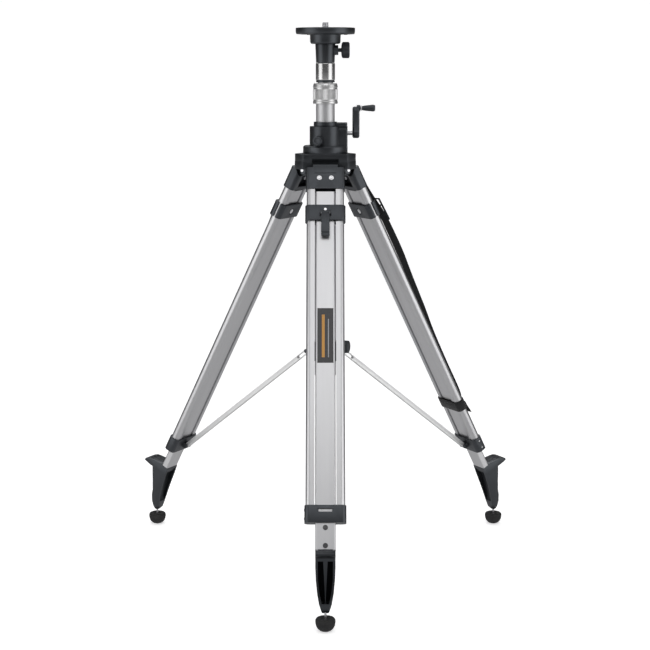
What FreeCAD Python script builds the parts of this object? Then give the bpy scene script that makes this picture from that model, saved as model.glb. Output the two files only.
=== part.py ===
import FreeCAD, Part
import math
import os

# Crank-elevating tripod for a laser level.
# Millimetres, +Z up, origin on the floor below the column.

V = FreeCAD.Vector
X, Y, Z = V(1, 0, 0), V(0, 1, 0), V(0, 0, 1)

# ---------------- driving dimensions ----------------
leg_azimuth = {"front": 270.0, "left": 150.0, "right": 30.0}
foot_circle = 550.0
hinge_radius = 45.0
hinge_height = 1018.0
leg_tilt = 27.7
leg_width = 93.0
rail_width = 20.5
leg_inner_face = 2.5
leg_outer_face = 27.5
rail_top = 22.0
rail_end = 885.0
slide_width = 48.0
slide_inner = 5.0
slide_outer = 25.5
slide_top = 66.0
slide_end = 959.0
head_length = 59.0
head_width = 97.0
clamp_top = 104.0
clamp_length = 40.0
lever_pivot = 128.0
lever_pivot_out = 39.0
bracket_top = 854.0
bracket_end = 895.0
strut_pivot_along = 875.2
strut_pivot_in = -8.8
strut_pivot_radius = 444.0
strut_pivot_height = 239.0
hub_pin_radius = 54.0
hub_pin_height = 545.0

column_radius = 23.75
running_gap = 0.08
inner_radius = 19.25
guide_radius = 27.5
guide_bore = 24.3
rack_module = 1.0
pinion_teeth = 18
pinion_height = 1110.0
rack_pitch_line = 22.0
pinion_pitch_radius = rack_module * pinion_teeth / 2.0
pinion_back = rack_pitch_line + pinion_pitch_radius

plate_low, plate_mid, plate_top = 1023.0, 1042.3, 1061.0
flat_distance = 57.0
flange_top = 1080.0
body_top = 1128.2
collar_top = 1139.6
nut_bottom, nut_top = 1184.7, 1229.3
cone_top = 1235.7
spigot_bottom, spigot_top = 1243.5, 1286.0
hub_low, disc_low, disc_top, stud_top = 1333.0, 1357.0, 1373.0, 1387.0
thumbscrew_height = 1318.0
stud_radius = 7.9375


# ---------------- small helpers ----------------
def box(x0, x1, y0, y1, z0, z1):
    return Part.makeBox(x1 - x0, y1 - y0, z1 - z0, V(x0, y0, z0))


def rod(radius, start, direction, length):
    return Part.makeCylinder(radius, length, start, direction)


def disc(radius, low, high):
    return rod(radius, V(0, 0, low), Z, high - low)


def tube(outer, inner, low, high):
    return disc(outer, low, high).cut(disc(inner, low - 1, high + 1))


def cone(low_radius, high_radius, low, high):
    return Part.makeCone(low_radius, high_radius, high - low, V(0, 0, low), Z)


def plate_from(points, direction):
    wire = Part.makePolygon(points + [points[0]])
    return Part.Face(wire).extrude(direction)


def joined(shapes):
    result = shapes[0].multiFuse(shapes[1:])
    return result.removeSplitter()


def rounded_box(x0, x1, y0, y1, z0, z1, radius, along):
    """Box whose four edges that run along one axis are rounded."""
    solid = box(x0, x1, y0, y1, z0, z1)
    edges = []
    for edge in solid.Edges:
        run = edge.Vertexes[1].Point.sub(edge.Vertexes[0].Point)
        if abs(run.normalize().dot(along)) > 0.99:
            edges.append(edge)
    return solid.makeFillet(radius, edges)


def rounded_ends(solid, radius, along, test):
    """Fillet the straight edges along one axis whose middle passes the test."""
    edges = []
    for edge in solid.Edges:
        if len(edge.Vertexes) < 2:
            continue
        run = edge.Vertexes[1].Point.sub(edge.Vertexes[0].Point)
        if run.Length < 0.5 or abs(run.normalize().dot(along)) < 0.99:
            continue
        if test(edge.CenterOfMass):
            edges.append(edge)
    return solid.makeFillet(radius, edges)


# Leg frame: X across the leg, Y out of its outer face, Z up along it.
# "s" is the distance down the leg from the hinge, so Z = -s.
def leg_block(t0, t1, n0, n1, s0, s1):
    return box(t0, t1, n0, n1, -s1, -s0)


def leg_profile(points, t0, t1):
    """Outline in (out, down) pairs, extruded across the leg."""
    corners = [V(t0, n, -s) for n, s in points]
    return plate_from(corners, V(t1 - t0, 0, 0))


def on_leg(shape, name):
    placed = shape.copy()
    placed.rotate(V(0, 0, 0), X, leg_tilt)
    placed.translate(V(0, hinge_radius, hinge_height))
    placed.rotate(V(0, 0, 0), Z, leg_azimuth[name] - 90.0)
    return placed


def at_azimuth(shape, angle):
    """Shape drawn with Y as the outward direction, turned to an azimuth."""
    placed = shape.copy()
    placed.rotate(V(0, 0, 0), Z, angle - 90.0)
    return placed


def three_legs(shape):
    return [at_azimuth(shape, leg_azimuth[name]) for name in leg_azimuth]


# ---------------- shoulder ----------------
def shoulder_disc(radius, low, high):
    solid = disc(radius, low, high)
    cutter = box(-90, 90, flat_distance, 120, low - 1, high + 1)
    for part in three_legs(cutter):
        solid = solid.cut(part)
    return solid.cut(disc(guide_radius, low - 1, high + 1))


def shoulder_top_plate():
    solid = shoulder_disc(79.3, plate_mid, plate_top)
    notch = box(-33.5, 33.5, 31.0, 70, plate_mid - 1, plate_mid + 7.2)
    for part in three_legs(notch):
        solid = solid.cut(part)
    return solid


def shoulder_hinge_plate():
    solid = shoulder_disc(80.0, plate_low, plate_mid)
    notch = box(-33.5, 33.5, 31.0, 70, plate_low - 1, plate_mid + 1)
    for part in three_legs(notch):
        solid = solid.cut(part)
    lugs = []
    for side in (-1, 1):
        low = min(side * 33.5, side * 39.5)
        ear = rod(10.0, V(low, hinge_radius, hinge_height), X, 6.0)
        web = box(low, low + 6.0, hinge_radius - 10, hinge_radius + 10, hinge_height, plate_low + 1)
        lugs.append(ear.fuse(web))
    for lug in lugs:
        for part in three_legs(lug):
            solid = solid.fuse(part)
    bore = rod(4.0, V(-45, hinge_radius, hinge_height), X, 90)
    for part in three_legs(bore):
        solid = solid.cut(part)
    return solid.removeSplitter()


def hinge_pins():
    pin = rod(4.0, V(-41, hinge_radius, hinge_height), X, 82)
    return Part.makeCompound(three_legs(pin))


def guide_tube():
    body = tube(guide_radius, guide_bore, 492.0, plate_top)
    lip = tube(guide_radius, column_radius + 0.35, 486.0, 492.0)
    return body.fuse(lip).removeSplitter()


# ---------------- crank housing ----------------
def shaft_bore(radius, start, length):
    return rod(radius, V(start, pinion_back, pinion_height), X, length)


def gear_housing():
    flange = disc(56.5, plate_top, flange_top - 3).fuse(cone(56.5, 53.5, flange_top - 3, flange_top))
    body = disc(39.7, flange_top - 1, body_top)
    side = box(-18, 56, -22, 48, plate_top + 6, body_top)
    edge = [V(-19, -22.5, body_top - 8), V(-19, -22.5, body_top + 1), V(-19, -13, body_top + 1)]
    side = side.cut(plate_from(edge, V(80, 0, 0)))
    side = rounded_ends(side, 4.0, Z, lambda p: p.x > 50)
    boss = lock_axis_rod(9.0, 30.0, 43.5)
    solid = joined([flange, body, side, boss])
    solid = solid.cut(disc(column_radius + running_gap, plate_top - 1, body_top + 1))
    solid = solid.cut(shaft_bore(pinion_pitch_radius + 2.0, -5.5, 11.0))
    solid = solid.cut(shaft_bore(5.5 + running_gap, -14.5, 80.0))
    return solid.cut(lock_axis_rod(4.0 + running_gap, 20.0, 45.0))


def gear_lid():
    collar = disc(29.5, body_top, collar_top)
    lid = rounded_box(-12, 55.3, -17, 46, body_top, 1136.7, 5.0, Z)
    solid = joined([collar, lid])
    return solid.cut(disc(column_radius + running_gap, body_top - 1, collar_top + 1))


lock_azimuth = math.radians(250.0)
lock_height = 1094.0


def lock_axis_rod(radius, start, end):
    way = V(math.cos(lock_azimuth), math.sin(lock_azimuth), 0)
    return rod(radius, V(way.x * start, way.y * start, lock_height), way, end - start)


def column_lock_knob():
    screw = lock_axis_rod(4.0, column_radius + 0.5, 46.0)
    grip = lock_axis_rod(13.0, 44.5, 62.0)
    return joined([screw, grip])


def tooth_line(centre, half_root, half_pitch, half_tip, root, tip, point):
    """Four corners of one straight-flanked tooth, placed by the caller's point function."""
    return [
        point(centre - half_root, root),
        point(centre - half_tip, tip),
        point(centre + half_tip, tip),
        point(centre + half_root, root),
    ]


def column_rack():
    pitch = math.pi * rack_module
    tip = rack_pitch_line + rack_module
    root = rack_pitch_line - 1.25 * rack_module
    low, high = 686.0, 1128.0
    points = [V(-5, 19.95, low), V(-5, root, low)]
    first = math.ceil((low + 2 - pinion_height) / pitch - 0.5)
    last = math.floor((high - 2 - pinion_height) / pitch - 0.5)
    for index in range(first, last + 1):
        centre = pinion_height + (index + 0.5) * pitch
        points += tooth_line(centre, 1.15, 0.71, 0.34, root, tip, lambda z, y: V(-5, y, z))
    points += [V(-5, root, high), V(-5, 19.95, high)]
    return plate_from(points, V(10, 0, 0))


def pinion_wheel():
    tip = pinion_pitch_radius + rack_module
    root = pinion_pitch_radius - 1.25 * rack_module
    points = []
    for index in range(pinion_teeth):
        angle = -math.pi / 2 + index * 2 * math.pi / pinion_teeth
        for shift, radius in ((-0.135, root), (-0.077, pinion_pitch_radius), (-0.032, tip),
                              (0.032, tip), (0.077, pinion_pitch_radius), (0.135, root)):
            # -90 degrees points from the pinion to the rack
            y = pinion_back + radius * math.sin(angle + shift)
            z = pinion_height + radius * math.cos(angle + shift)
            points.append(V(-4.5, y, z))
    return plate_from(points, V(9, 0, 0))


def crank_shaft():
    return joined([pinion_wheel(), shaft_bore(5.5, -14.0, 95.0)])


def crank_arm():
    bottom = rod(13.0, V(69.0, pinion_back, pinion_height), X, 18.0)
    top = rod(11.0, V(69.0, pinion_back, pinion_height + 56.0), X, 18.0)
    bar = box(69.0, 87.0, pinion_back - 11, pinion_back + 11, pinion_height, pinion_height + 56.0)
    solid = joined([bottom, top, bar])
    solid = solid.makeFillet(5.0, [e for e in solid.Edges if e.BoundBox.XLength < 0.01])
    solid = solid.cut(shaft_bore(5.5, 60.0, 21.0))
    pin = rod(4.0, V(86.0, pinion_back, pinion_height + 63.0), X, 36.0)
    stub = rod(8.0, V(80.0, pinion_back, pinion_height + 63.0), X, 9.0)
    return joined([solid, pin, stub])


def crank_grip():
    start = V(90.0, pinion_back, pinion_height + 63.0)
    collar = Part.makeCylinder(6.5, 3.5, start, X)
    body = Part.makeCone(5.6, 8.9, 30.0, start.add(V(3.0, 0, 0)), X)
    cap = Part.makeCone(8.9, 6.5, 4.0, start.add(V(33.0, 0, 0)), X)
    hole = Part.makeCylinder(4.0 + running_gap, 33.0, start.add(V(-1, 0, 0)), X)
    return joined([collar, body, cap]).cut(hole)


# ---------------- column ----------------
def outer_column():
    solid = tube(column_radius, inner_radius + 1.0, 600.0, nut_top - 6)
    slot = box(-5, 5, 18, 30, 686.0, 1128.0)
    keyway = box(-3.5, 3.5, -30, -column_radius + 1.4, 612.0, nut_bottom)
    foot = tube(column_radius, 8.0, 596.0, 600.0)
    return joined([solid.cut(slot).cut(keyway), foot])


def chuck_body():
    neck = tube(26.0, inner_radius + running_gap, nut_top - 6, cone_top - 4)
    rim = cone(31.0, 29.0, nut_top + 0.3, cone_top)
    sleeve = tube(inner_radius + 1.0, inner_radius + running_gap, 1190.0, nut_top - 6)
    solid = joined([neck, rim, sleeve])
    return solid.cut(disc(inner_radius + running_gap, 1180, 1240))


def chuck_nut():
    body = disc(31.3, nut_bottom, nut_top)
    solid = body.cut(disc(column_radius + running_gap, nut_bottom - 1, nut_top - 6.3))
    solid = solid.cut(disc(26.1, nut_top - 6.5, nut_top + 1))
    for level in (1193.0, 1223.5):
        solid = solid.cut(tube(40.0, 30.3, level - 1.0, level + 1.0))
    return solid


def inner_column():
    return tube(inner_radius, 16.0, 800.0, 1238.0)


def spigot():
    body = disc(24.2, spigot_bottom, spigot_top)
    tip = disc(17.0, spigot_top, 1326.0)
    plug = disc(16.0, 1205.0, 1240.0)
    ring = disc(23.5, 1238.0, spigot_bottom)
    return joined([body, tip, plug, ring])


# ---------------- head ----------------
def head_socket():
    body = cone(23.3, 25.3, spigot_top + 0.4, hub_low)
    solid = body.cut(disc(17.0 + running_gap, spigot_top - 1, 1326.5))
    boss = rod(12.3, V(18, 0, thumbscrew_height), X, 14.5)
    solid = joined([solid, boss.cut(disc(20.0, 1290, 1340))])
    return solid.cut(rod(5.0 + running_gap, V(10, 0, thumbscrew_height), X, 30.0))


def head_plate():
    top = disc(74.4, disc_low, disc_top)
    hub = cone(38.0, 38.7, hub_low, disc_low)
    hub = hub.makeFillet(4.0, [e for e in hub.Edges if e.BoundBox.ZMax < hub_low + 0.1])
    solid = joined([top, hub])
    nubs = []
    for index in range(6):
        angle = math.radians(index * 60 + 20)
        nubs.append(rod(3.0, V(55 * math.cos(angle), 55 * math.sin(angle), disc_low - 2.5), Z, 3.0))
    solid = joined([solid] + nubs)
    solid = solid.cut(disc(6.0, hub_low + 8, disc_top + 1))
    return solid.cut(disc(stud_radius + 0.5, disc_top - 1.5, disc_top + 1))


def instrument_stud():
    stem = disc(6.0, hub_low + 8, disc_top)
    thread = disc(stud_radius, disc_top, stud_top - 1.2)
    return joined([stem, thread, cone(stud_radius, 6.7, stud_top - 1.2, stud_top)])


def head_thumbscrew():
    screw = rod(5.0, V(17.6, 0, thumbscrew_height), X, 26.0)
    neck = Part.makeCone(8.0, 12.0, 5.0, V(36.0, 0, thumbscrew_height), X)
    grip = rod(20.3, V(41.0, 0, thumbscrew_height), X, 17.0)
    cap = Part.makeCone(20.3, 15.0, 3.0, V(58.0, 0, thumbscrew_height), X)
    return joined([screw, neck, grip, cap])


# ---------------- spreader ----------------
def spreader_hub():
    collar = disc(32.5, 526.0, 575.0)
    ears = []
    for side in (-1, 1):
        low = min(side * 6.4, side * 9.0)
        eye = rod(5.5, V(low, hub_pin_radius, hub_pin_height), X, 2.6)
        arm = box(low, low + 2.6, 25, hub_pin_radius, hub_pin_height - 5.5, hub_pin_height + 5)
        ears.append(eye.fuse(arm))
    pin = rod(1.75, V(-9.4, hub_pin_radius, hub_pin_height), X, 18.8)
    shapes = [collar]
    for piece in ears + [pin]:
        shapes += three_legs(piece)
    boss = knob_axis_rod(9.0, 28.0, 41.0)
    solid = joined(shapes + [boss])
    solid = solid.cut(disc(guide_radius + running_gap, 520, 580))
    return solid.cut(knob_axis_rod(4.0 + running_gap, 20.0, 45.0))


knob_azimuth = math.radians(345.0)
knob_height = 563.0


def knob_axis_rod(radius, start, end):
    way = V(math.cos(knob_azimuth), math.sin(knob_azimuth), 0)
    return rod(radius, V(way.x * start, way.y * start, knob_height), way, end - start)


def hub_knob():
    screw = knob_axis_rod(4.0, guide_radius + 0.5, 44.0)
    grip = knob_axis_rod(16.5, 42.0, 64.0)
    return joined([screw, grip])


def strut_shape():
    """Channel with its open side down, pivot at the origin, running up along Z."""
    reach = math.hypot(strut_pivot_radius - hub_pin_radius, hub_pin_height - strut_pivot_height)
    outside = box(-6, 6, -6, 6, 0, reach)
    tail = rod(6.0, V(-6, 0, 0), X, 12)
    tip = rod(6.0, V(-6, 0, reach), X, 12)
    solid = joined([outside, tail, tip])
    solid = solid.cut(box(-4.5, 4.5, -7, 4.5, -8, reach + 8))
    solid = solid.cut(rod(2.5 + running_gap, V(-8, 0, 0), X, 16))
    slot = joined([
        rod(3.75, V(-8, 0, reach - 31), X, 16),
        rod(3.75, V(-8, 0, reach + 1), X, 16),
        box(-8, 8, -3.75, 3.75, reach - 31, reach + 1),
    ])
    return solid.cut(slot)


def strut(name):
    shape = strut_shape()
    lean = math.degrees(math.atan2(strut_pivot_radius - hub_pin_radius, hub_pin_height - strut_pivot_height))
    shape.rotate(V(0, 0, 0), X, lean)
    shape.translate(V(0, strut_pivot_radius, strut_pivot_height))
    return at_azimuth(shape, leg_azimuth[name])


# ---------------- leg, fixed half ----------------
def rail(side):
    outer = leg_width / 2.0
    inner = outer - rail_width
    low, high = min(side * inner, side * outer), max(side * inner, side * outer)
    block = leg_block(low, high, leg_inner_face, leg_outer_face, rail_top, rail_end)
    block = rounded_ends(block, 11.0, Z, lambda p: abs(p.x) > outer - 1)
    hollow = leg_block(low + 2, high - 2, leg_inner_face + 2, leg_outer_face - 2, rail_top - 1, rail_end + 1)
    hollow = rounded_ends(hollow, 9.0, Z, lambda p: abs(p.x) > outer - 3)
    return block, block.cut(hollow)


def leg_rails():
    return Part.makeCompound([rail(-1)[1], rail(1)[1]])


def capped(shape, *pieces):
    for piece in pieces:
        shape = shape.cut(piece)
    return shape


def leg_head():
    half = head_width / 2.0
    outline = [(13, 2), (30, 2), (30, head_length), (-1, head_length), (-1, 17)]
    cap = leg_profile(outline, -half, half)
    cap = rounded_ends(cap, 9.0, Z, lambda p: abs(p.x) > half - 1)
    knuckle = rod(13.0, V(-31, 0, 0), X, 62)
    tongue = leg_profile([(4, -11), (22, -11), (27, -6), (27, 8), (0, 18), (-11, 8)], -31, 31)
    panel = leg_block(-27.5, 27.5, 28, 31.5, 3, 18)
    under = leg_block(-24.9, 24.9, 4, 27, 52, 60)
    pocket = leg_block(-24.9, 24.9, -2, 13, 17, 50)
    pocket = rounded_ends(pocket, 4.0, Y, lambda p: True)
    solid = joined([cap, knuckle, tongue, panel])
    solid = capped(solid, rail(-1)[0], rail(1)[0], under, pocket)
    for across in (-18.5, 18.5):
        solid = solid.cut(leg_block(across - 1.2, across + 1.2, 28.8, 31, 44, 54))
    for across in (-15, 15):
        solid = solid.cut(rod(4.5, V(across, 12, -31), Y, 20))
    return solid.cut(rod(4.0 + running_gap, V(-40, 0, 0), X, 80))


def head_screws():
    screws = []
    for across in (-15, 15):
        shank = rod(4.5, V(across, 12, -31), Y, 18)
        nut = rod(6.5, V(across, 8.0, -31), Y, 4.9)
        screws.append(joined([shank, nut, rod(6.5, V(across, 30, -31), Y, 1.6)]))
    return Part.makeCompound(screws)


def leg_bracket():
    half = 49.0
    body = leg_block(-half, half, -1, 30.3, bracket_top, bracket_end)
    body = rounded_ends(body, 11.5, Z, lambda p: True)
    body = body.cut(rail(-1)[0]).cut(rail(1)[0])
    inside = leg_block(-25.0, 25.0, slide_inner - 0.6, slide_outer + 0.6, bracket_top - 1, bracket_end + 1)
    recess = leg_block(-19, 19, 28.8, 31, bracket_top - 1, bracket_top + 8)
    window = leg_block(-16, 16, 24, 31, bracket_top + 8.5, bracket_top + 16)
    body = body.cut(inside).cut(recess).cut(window)
    rivets = [rod(3.2, V(half - 0.5, 16.4, -bracket_top - along), X, 1.5) for along in (10, 31)]
    ears = []
    for side in (-1, 1):
        low = min(side * 6.6, side * 9.6)
        eye = rod(6.5, V(low, strut_pivot_in, -strut_pivot_along), X, 3.0)
        web = box(low, low + 3, strut_pivot_in, 0, -strut_pivot_along - 6.5, -strut_pivot_along + 6.5)
        ears.append(eye.fuse(web))
    pin = rod(2.5, V(-10.8, strut_pivot_in, -strut_pivot_along), X, 21.6)
    return joined([body] + ears + rivets + [pin])


# ---------------- leg, sliding half ----------------
def slide_section():
    half = slide_width / 2.0
    block = leg_block(-half, half, slide_inner, slide_outer, slide_top, slide_end)
    block = rounded_ends(block, 4.0, Z, lambda p: True)
    hollow = leg_block(-half + 2, half - 2, slide_inner + 2, slide_outer - 2, slide_top - 1, slide_end + 1)
    return block.cut(hollow)


def clamp_outer():
    half = 50.0
    low, high = clamp_top, clamp_top + clamp_length
    face = leg_block(-half, half, 17.0, 33.0, low, high)
    face = rounded_ends(face, 12.0, Z, lambda p: p.y > 30)
    room = leg_block(-leg_width / 2 - 0.4, leg_width / 2 + 0.4, 10, leg_outer_face + 0.4, low - 1, high + 1)
    room = rounded_ends(room, 11.0, Z, lambda p: p.y > 20)
    pad = leg_block(-20, 20, slide_outer, 29, low + 4, high - 4)
    ears = []
    for side in (-1, 1):
        near = min(side * 10.8, side * 14.5)
        eye = rod(5.0, V(near, lever_pivot_out, -lever_pivot), X, 3.7)
        web = box(near, near + 3.7, 30, lever_pivot_out, -lever_pivot - 5, -lever_pivot + 5)
        ears.append(eye.fuse(web))
    solid = joined([face.cut(room), pad] + ears)
    return solid.cut(rod(3.0, V(-12.8, lever_pivot_out, -lever_pivot), X, 25.6))


def clamp_inner():
    half = 50.0
    low, high = clamp_top, clamp_top + clamp_length
    face = leg_block(-half, half, -1.8, 12.0, low, high)
    face = rounded_ends(face, 12.0, Z, lambda p: p.y < 0)
    room = leg_block(-leg_width / 2 - 0.4, leg_width / 2 + 0.4, leg_inner_face - 0.4, 20, low - 1, high + 1)
    room = rounded_ends(room, 11.0, Z, lambda p: p.y < 5)
    pad = leg_block(-20, 20, 1.5, slide_inner, low + 4, high - 4)
    solid = joined([face.cut(room), pad])
    return solid.cut(rod(9.0, V(0, -2.5, -124), Y, 3.2))


def slide_steel():
    """Clamp bolt head, lever pin, clamp nut, shoe bolts and the foot spike."""
    parts = [rod(3.4, V(0, 33.0, -116.5), Y, 1.4)]
    parts.append(rod(3.0, V(-12.8, lever_pivot_out, -lever_pivot), X, 25.6))
    parts.append(rod(6.5, V(0, -1.6, -124), Y, 2.3))
    for along in (906.5, 948.5):
        parts.append(rod(6.0, V(0, slide_outer, -along), Y, 1.6))
    return parts


def clamp_lever():
    eye = rod(5.5, V(-10.2, lever_pivot_out, -lever_pivot), X, 20.4)
    outline = [(35.2, 130), (44.0, 128), (43.0, 160), (41.6, 179), (39.8, 181), (39.4, 189), (36.0, 189), (35.6, 160)]
    arm = leg_profile(outline, -10.2, 10.2)
    solid = joined([eye, arm])
    return solid.cut(rod(3.0 + running_gap, V(-12, lever_pivot_out, -lever_pivot), X, 24))


# ---------------- foot ----------------
def curve_face(points, start, end):
    return [V(start, r, z) for r, z in points], V(end - start, 0, 0)


def foot_shoe():
    side = [(494.5, 172), (506, 143), (517, 117), (526, 92), (533, 68), (538, 49), (546, 41),
            (552, 43), (556, 52), (557, 68), (555, 86), (550, 104), (548, 130), (547, 172),
            (554, 175), (566, 182), (573, 187), (571, 192), (560, 194), (545, 191), (519, 184)]
    corners, way = curve_face(side, -24, 24)
    solid = plate_from(corners, way)
    front = [(-23.2, 205), (-23.2, 150), (-22.0, 120), (-19.0, 90), (-14.5, 65), (-9.0, 46), (-4.0, 38),
             (4.0, 38), (9.0, 46), (14.5, 65), (19.0, 90), (22.0, 120), (23.2, 150), (23.2, 205)]
    wall = plate_from([V(t, 480, z) for t, z in front], V(0, 110, 0))
    solid = solid.common(wall)
    pocket = [(-17.5, 165), (-17.0, 120), (-13.5, 90), (-8.5, 66), (8.5, 66), (13.5, 90), (17.0, 120), (17.5, 165)]
    hollow = plate_from([V(t, 541, z) for t, z in pocket], V(0, 40, 0))
    rib = plate_from([V(-5.5, 530, 170), V(0, 530, 60), V(5.5, 530, 170)], V(0, 60, 0))
    solid = solid.cut(hollow.cut(rib))
    channel = [(478, 164), (514, 164), (523, 140), (530, 115), (535.5, 92), (538, 78), (536, 68), (515, 68)]
    corners, way = curve_face(channel, -24, 24)
    opening = [(-20, 165), (-19, 120), (-16, 90), (-11, 67), (11, 67), (16, 90), (19, 120), (20, 165)]
    inside = plate_from([V(t, 470, z) for t, z in opening], V(0, 80, 0))
    return solid.cut(plate_from(corners, way).common(inside))


def shoe_with_socket(name):
    socket = leg_block(-slide_width / 2, slide_width / 2, slide_inner, slide_outer, 900, slide_end)
    solid = at_azimuth(foot_shoe(), leg_azimuth[name]).cut(on_leg(socket, name))
    tongue = leg_block(-21.8, 21.8, slide_inner + 2.2, slide_outer - 2.2, 930, 978)
    solid = joined([solid, on_leg(tongue, name)])
    return solid.cut(at_azimuth(rod(2.75, V(0, foot_circle, 30), Z, 40), leg_azimuth[name]))


def foot_spike():
    return rod(2.75, V(0, foot_circle, 12.0), Z, 50.0)


def foot_pad():
    outline = [(0, 0), (11, 0), (17.5, 3.5), (21.5, 9), (23.4, 17), (23.0, 25), (20, 29.5),
               (11, 31), (8.0, 28), (0, 28)]
    points = [V(r, foot_circle, z) for r, z in outline]
    wire = Part.makePolygon(points + [points[0]])
    solid = Part.Face(wire).revolve(V(0, foot_circle, 0), Z, 360)
    return solid.cut(rod(2.75 + running_gap, V(0, foot_circle, 11.5), Z, 40))


# ---------------- carrying strap on the right leg ----------------
# distance down the leg, then how far the inner and the outer edge of the webbing stand out
strap_run = [(40, 30.0, 30.0), (62, 31.2, 32.2), (97, 34.2, 35.8), (180, 34.6, 43.4), (262, 34.6, 43.6),
             (342, 34.5, 37.8), (435, 34.4, 35.2), (520, 34.4, 34.4), (700, 34.4, 34.4), (736, 29.2, 29.2)]


def webbing(grow):
    """Webbing 32 mm wide and 2 mm thick, tilted outward; grow adds room all round it."""
    sections = []
    for down, inner, outer in strap_run:
        corners = [V(15.6 - grow, inner - grow, -down), V(47.6 + grow, outer - grow, -down),
                   V(47.6 + grow, outer + 2 + grow, -down), V(15.6 - grow, inner + 2 + grow, -down)]
        sections.append(Part.makePolygon(corners + [corners[0]]))
    return Part.makeLoft(sections, True, True)


def carry_strap():
    band = leg_block(-49.2, 49.2, -0.4, 30.4, 727, 757)
    band = rounded_ends(band, 12.5, Z, lambda p: True)
    room = leg_block(-leg_width / 2 - 0.3, leg_width / 2 + 0.3, leg_inner_face - 0.3, leg_outer_face + 0.3, 724, 760)
    room = rounded_ends(room, 11.0, Z, lambda p: True)
    return joined([webbing(0), band.cut(room)])


def strap_buckle():
    plate = rounded_ends(leg_block(15.4, 50.4, 38.2, 44.2, 104, 172), 5.0, Y, lambda p: True)
    plate.rotate(V(32.9, 41.2, -138), Z, 6.0)
    plate.rotate(V(32.9, 41.2, -138), X, 2.0)
    return plate.cut(webbing(0.4))


# ---------------- write the pieces ----------------
os.makedirs("parts", exist_ok=True)


def save(name, shape):
    shape.exportStep("parts/" + name + ".step")


save("shoulder_top_plate", shoulder_top_plate())
save("shoulder_hinge_plate", shoulder_hinge_plate())
save("hinge_pins", hinge_pins())
save("guide_tube", guide_tube())
save("gear_housing", gear_housing())
save("gear_lid", gear_lid())
save("column_lock_knob", column_lock_knob())
save("crank_shaft", crank_shaft())
save("crank_arm", crank_arm())
save("crank_grip", crank_grip())
save("outer_column", outer_column())
save("column_rack", column_rack())
save("chuck_body", chuck_body())
save("chuck_nut", chuck_nut())
save("inner_column", inner_column())
save("spigot", spigot())
save("head_socket", head_socket())
save("head_plate", head_plate())
save("instrument_stud", instrument_stud())
save("head_thumbscrew", head_thumbscrew())
save("spreader_hub", spreader_hub())
save("hub_knob", hub_knob())
save("carry_strap", on_leg(carry_strap(), "right"))
save("strap_buckle", on_leg(strap_buckle(), "right"))
for name in leg_azimuth:
    save(name + "_leg_head", on_leg(leg_head(), name))
    save(name + "_head_screws", on_leg(head_screws(), name))
    save(name + "_leg_rails", on_leg(leg_rails(), name))
    save(name + "_leg_bracket", on_leg(leg_bracket(), name))
    save(name + "_slide_section", on_leg(slide_section(), name))
    save(name + "_clamp_outer", on_leg(clamp_outer(), name))
    save(name + "_clamp_inner", on_leg(clamp_inner(), name))
    steel = [on_leg(piece, name) for piece in slide_steel()]
    steel.append(at_azimuth(foot_spike(), leg_azimuth[name]))
    save(name + "_slide_steel", Part.makeCompound(steel))
    save(name + "_clamp_lever", on_leg(clamp_lever(), name))
    save(name + "_foot_shoe", shoe_with_socket(name))
    save(name + "_foot_pad", at_azimuth(foot_pad(), leg_azimuth[name]))
    save(name + "_strut", strut(name))
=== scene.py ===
import math

import bmesh
import bpy
from mathutils import Matrix, Vector


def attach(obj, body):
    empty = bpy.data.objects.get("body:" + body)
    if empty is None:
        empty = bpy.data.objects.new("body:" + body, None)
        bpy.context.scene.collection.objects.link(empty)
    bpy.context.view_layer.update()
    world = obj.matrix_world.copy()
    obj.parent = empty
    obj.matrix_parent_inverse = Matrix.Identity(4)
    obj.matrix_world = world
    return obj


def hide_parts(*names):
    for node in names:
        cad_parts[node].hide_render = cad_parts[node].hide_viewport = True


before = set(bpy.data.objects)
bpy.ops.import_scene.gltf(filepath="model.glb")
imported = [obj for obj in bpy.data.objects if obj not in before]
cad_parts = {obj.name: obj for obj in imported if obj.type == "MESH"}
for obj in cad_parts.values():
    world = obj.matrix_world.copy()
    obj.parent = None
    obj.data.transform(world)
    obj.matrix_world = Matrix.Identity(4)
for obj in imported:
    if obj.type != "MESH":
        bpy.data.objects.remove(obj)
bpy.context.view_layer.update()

rad = math.radians
mm = 0.001

# Places shared with the design, in millimetres. Each leg has its azimuth in degrees.
LEGS = {"front": 270.0, "left": 150.0, "right": 30.0}
HINGE = Vector((0.0, 45.0, 1018.0))
TILT = rad(27.7)
FOOT_CIRCLE = 550.0
DISC_UNDERSIDE = 1357.6
THREAD_START = 1374.1
NUT_MIDDLE = 1208.3
GRIP_START = (90.0, 31.0, 1173.0)
SLIDE_FACE = 25.5
LABEL_HALF_WIDTH = 19.4
LABEL_TOP, LABEL_END = 371.5, 509.5
BAND_TOP, BAND_END = 727.0, 757.0
BAND_CORNER = 11.5

# Heights in metres between which the slide's bolts are black.
BOLT_ZONE = (0.12, 0.26)

# The view, and the room's greys from straight below (0) over eye level to straight above (1).
LENS = 82.99
VIEWPOINT = (-0.0009, -3.8234, 1.2826)
VIEW_DIP = rad(9.866)
ROOM_GREYS = ((0.0, 0.50), (0.36, 0.42), (0.50, 0.07), (0.60, 0.07), (0.80, 0.42), (1.0, 0.6))

# Colours of the black coats' shine and of the label's two marks.
COOL_SHINE = (0.86, 0.92, 1.0, 1.0)
AMBER = (0.52, 0.24, 0.03, 1)
RULE_GREY = (0.32, 0.32, 0.34, 1)


# ---------------------------------------------------------------- places
def turned_to(azimuth):
    """Y outward becomes the given azimuth."""
    return Matrix.Rotation(rad(azimuth - 90.0), 4, "Z")


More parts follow.
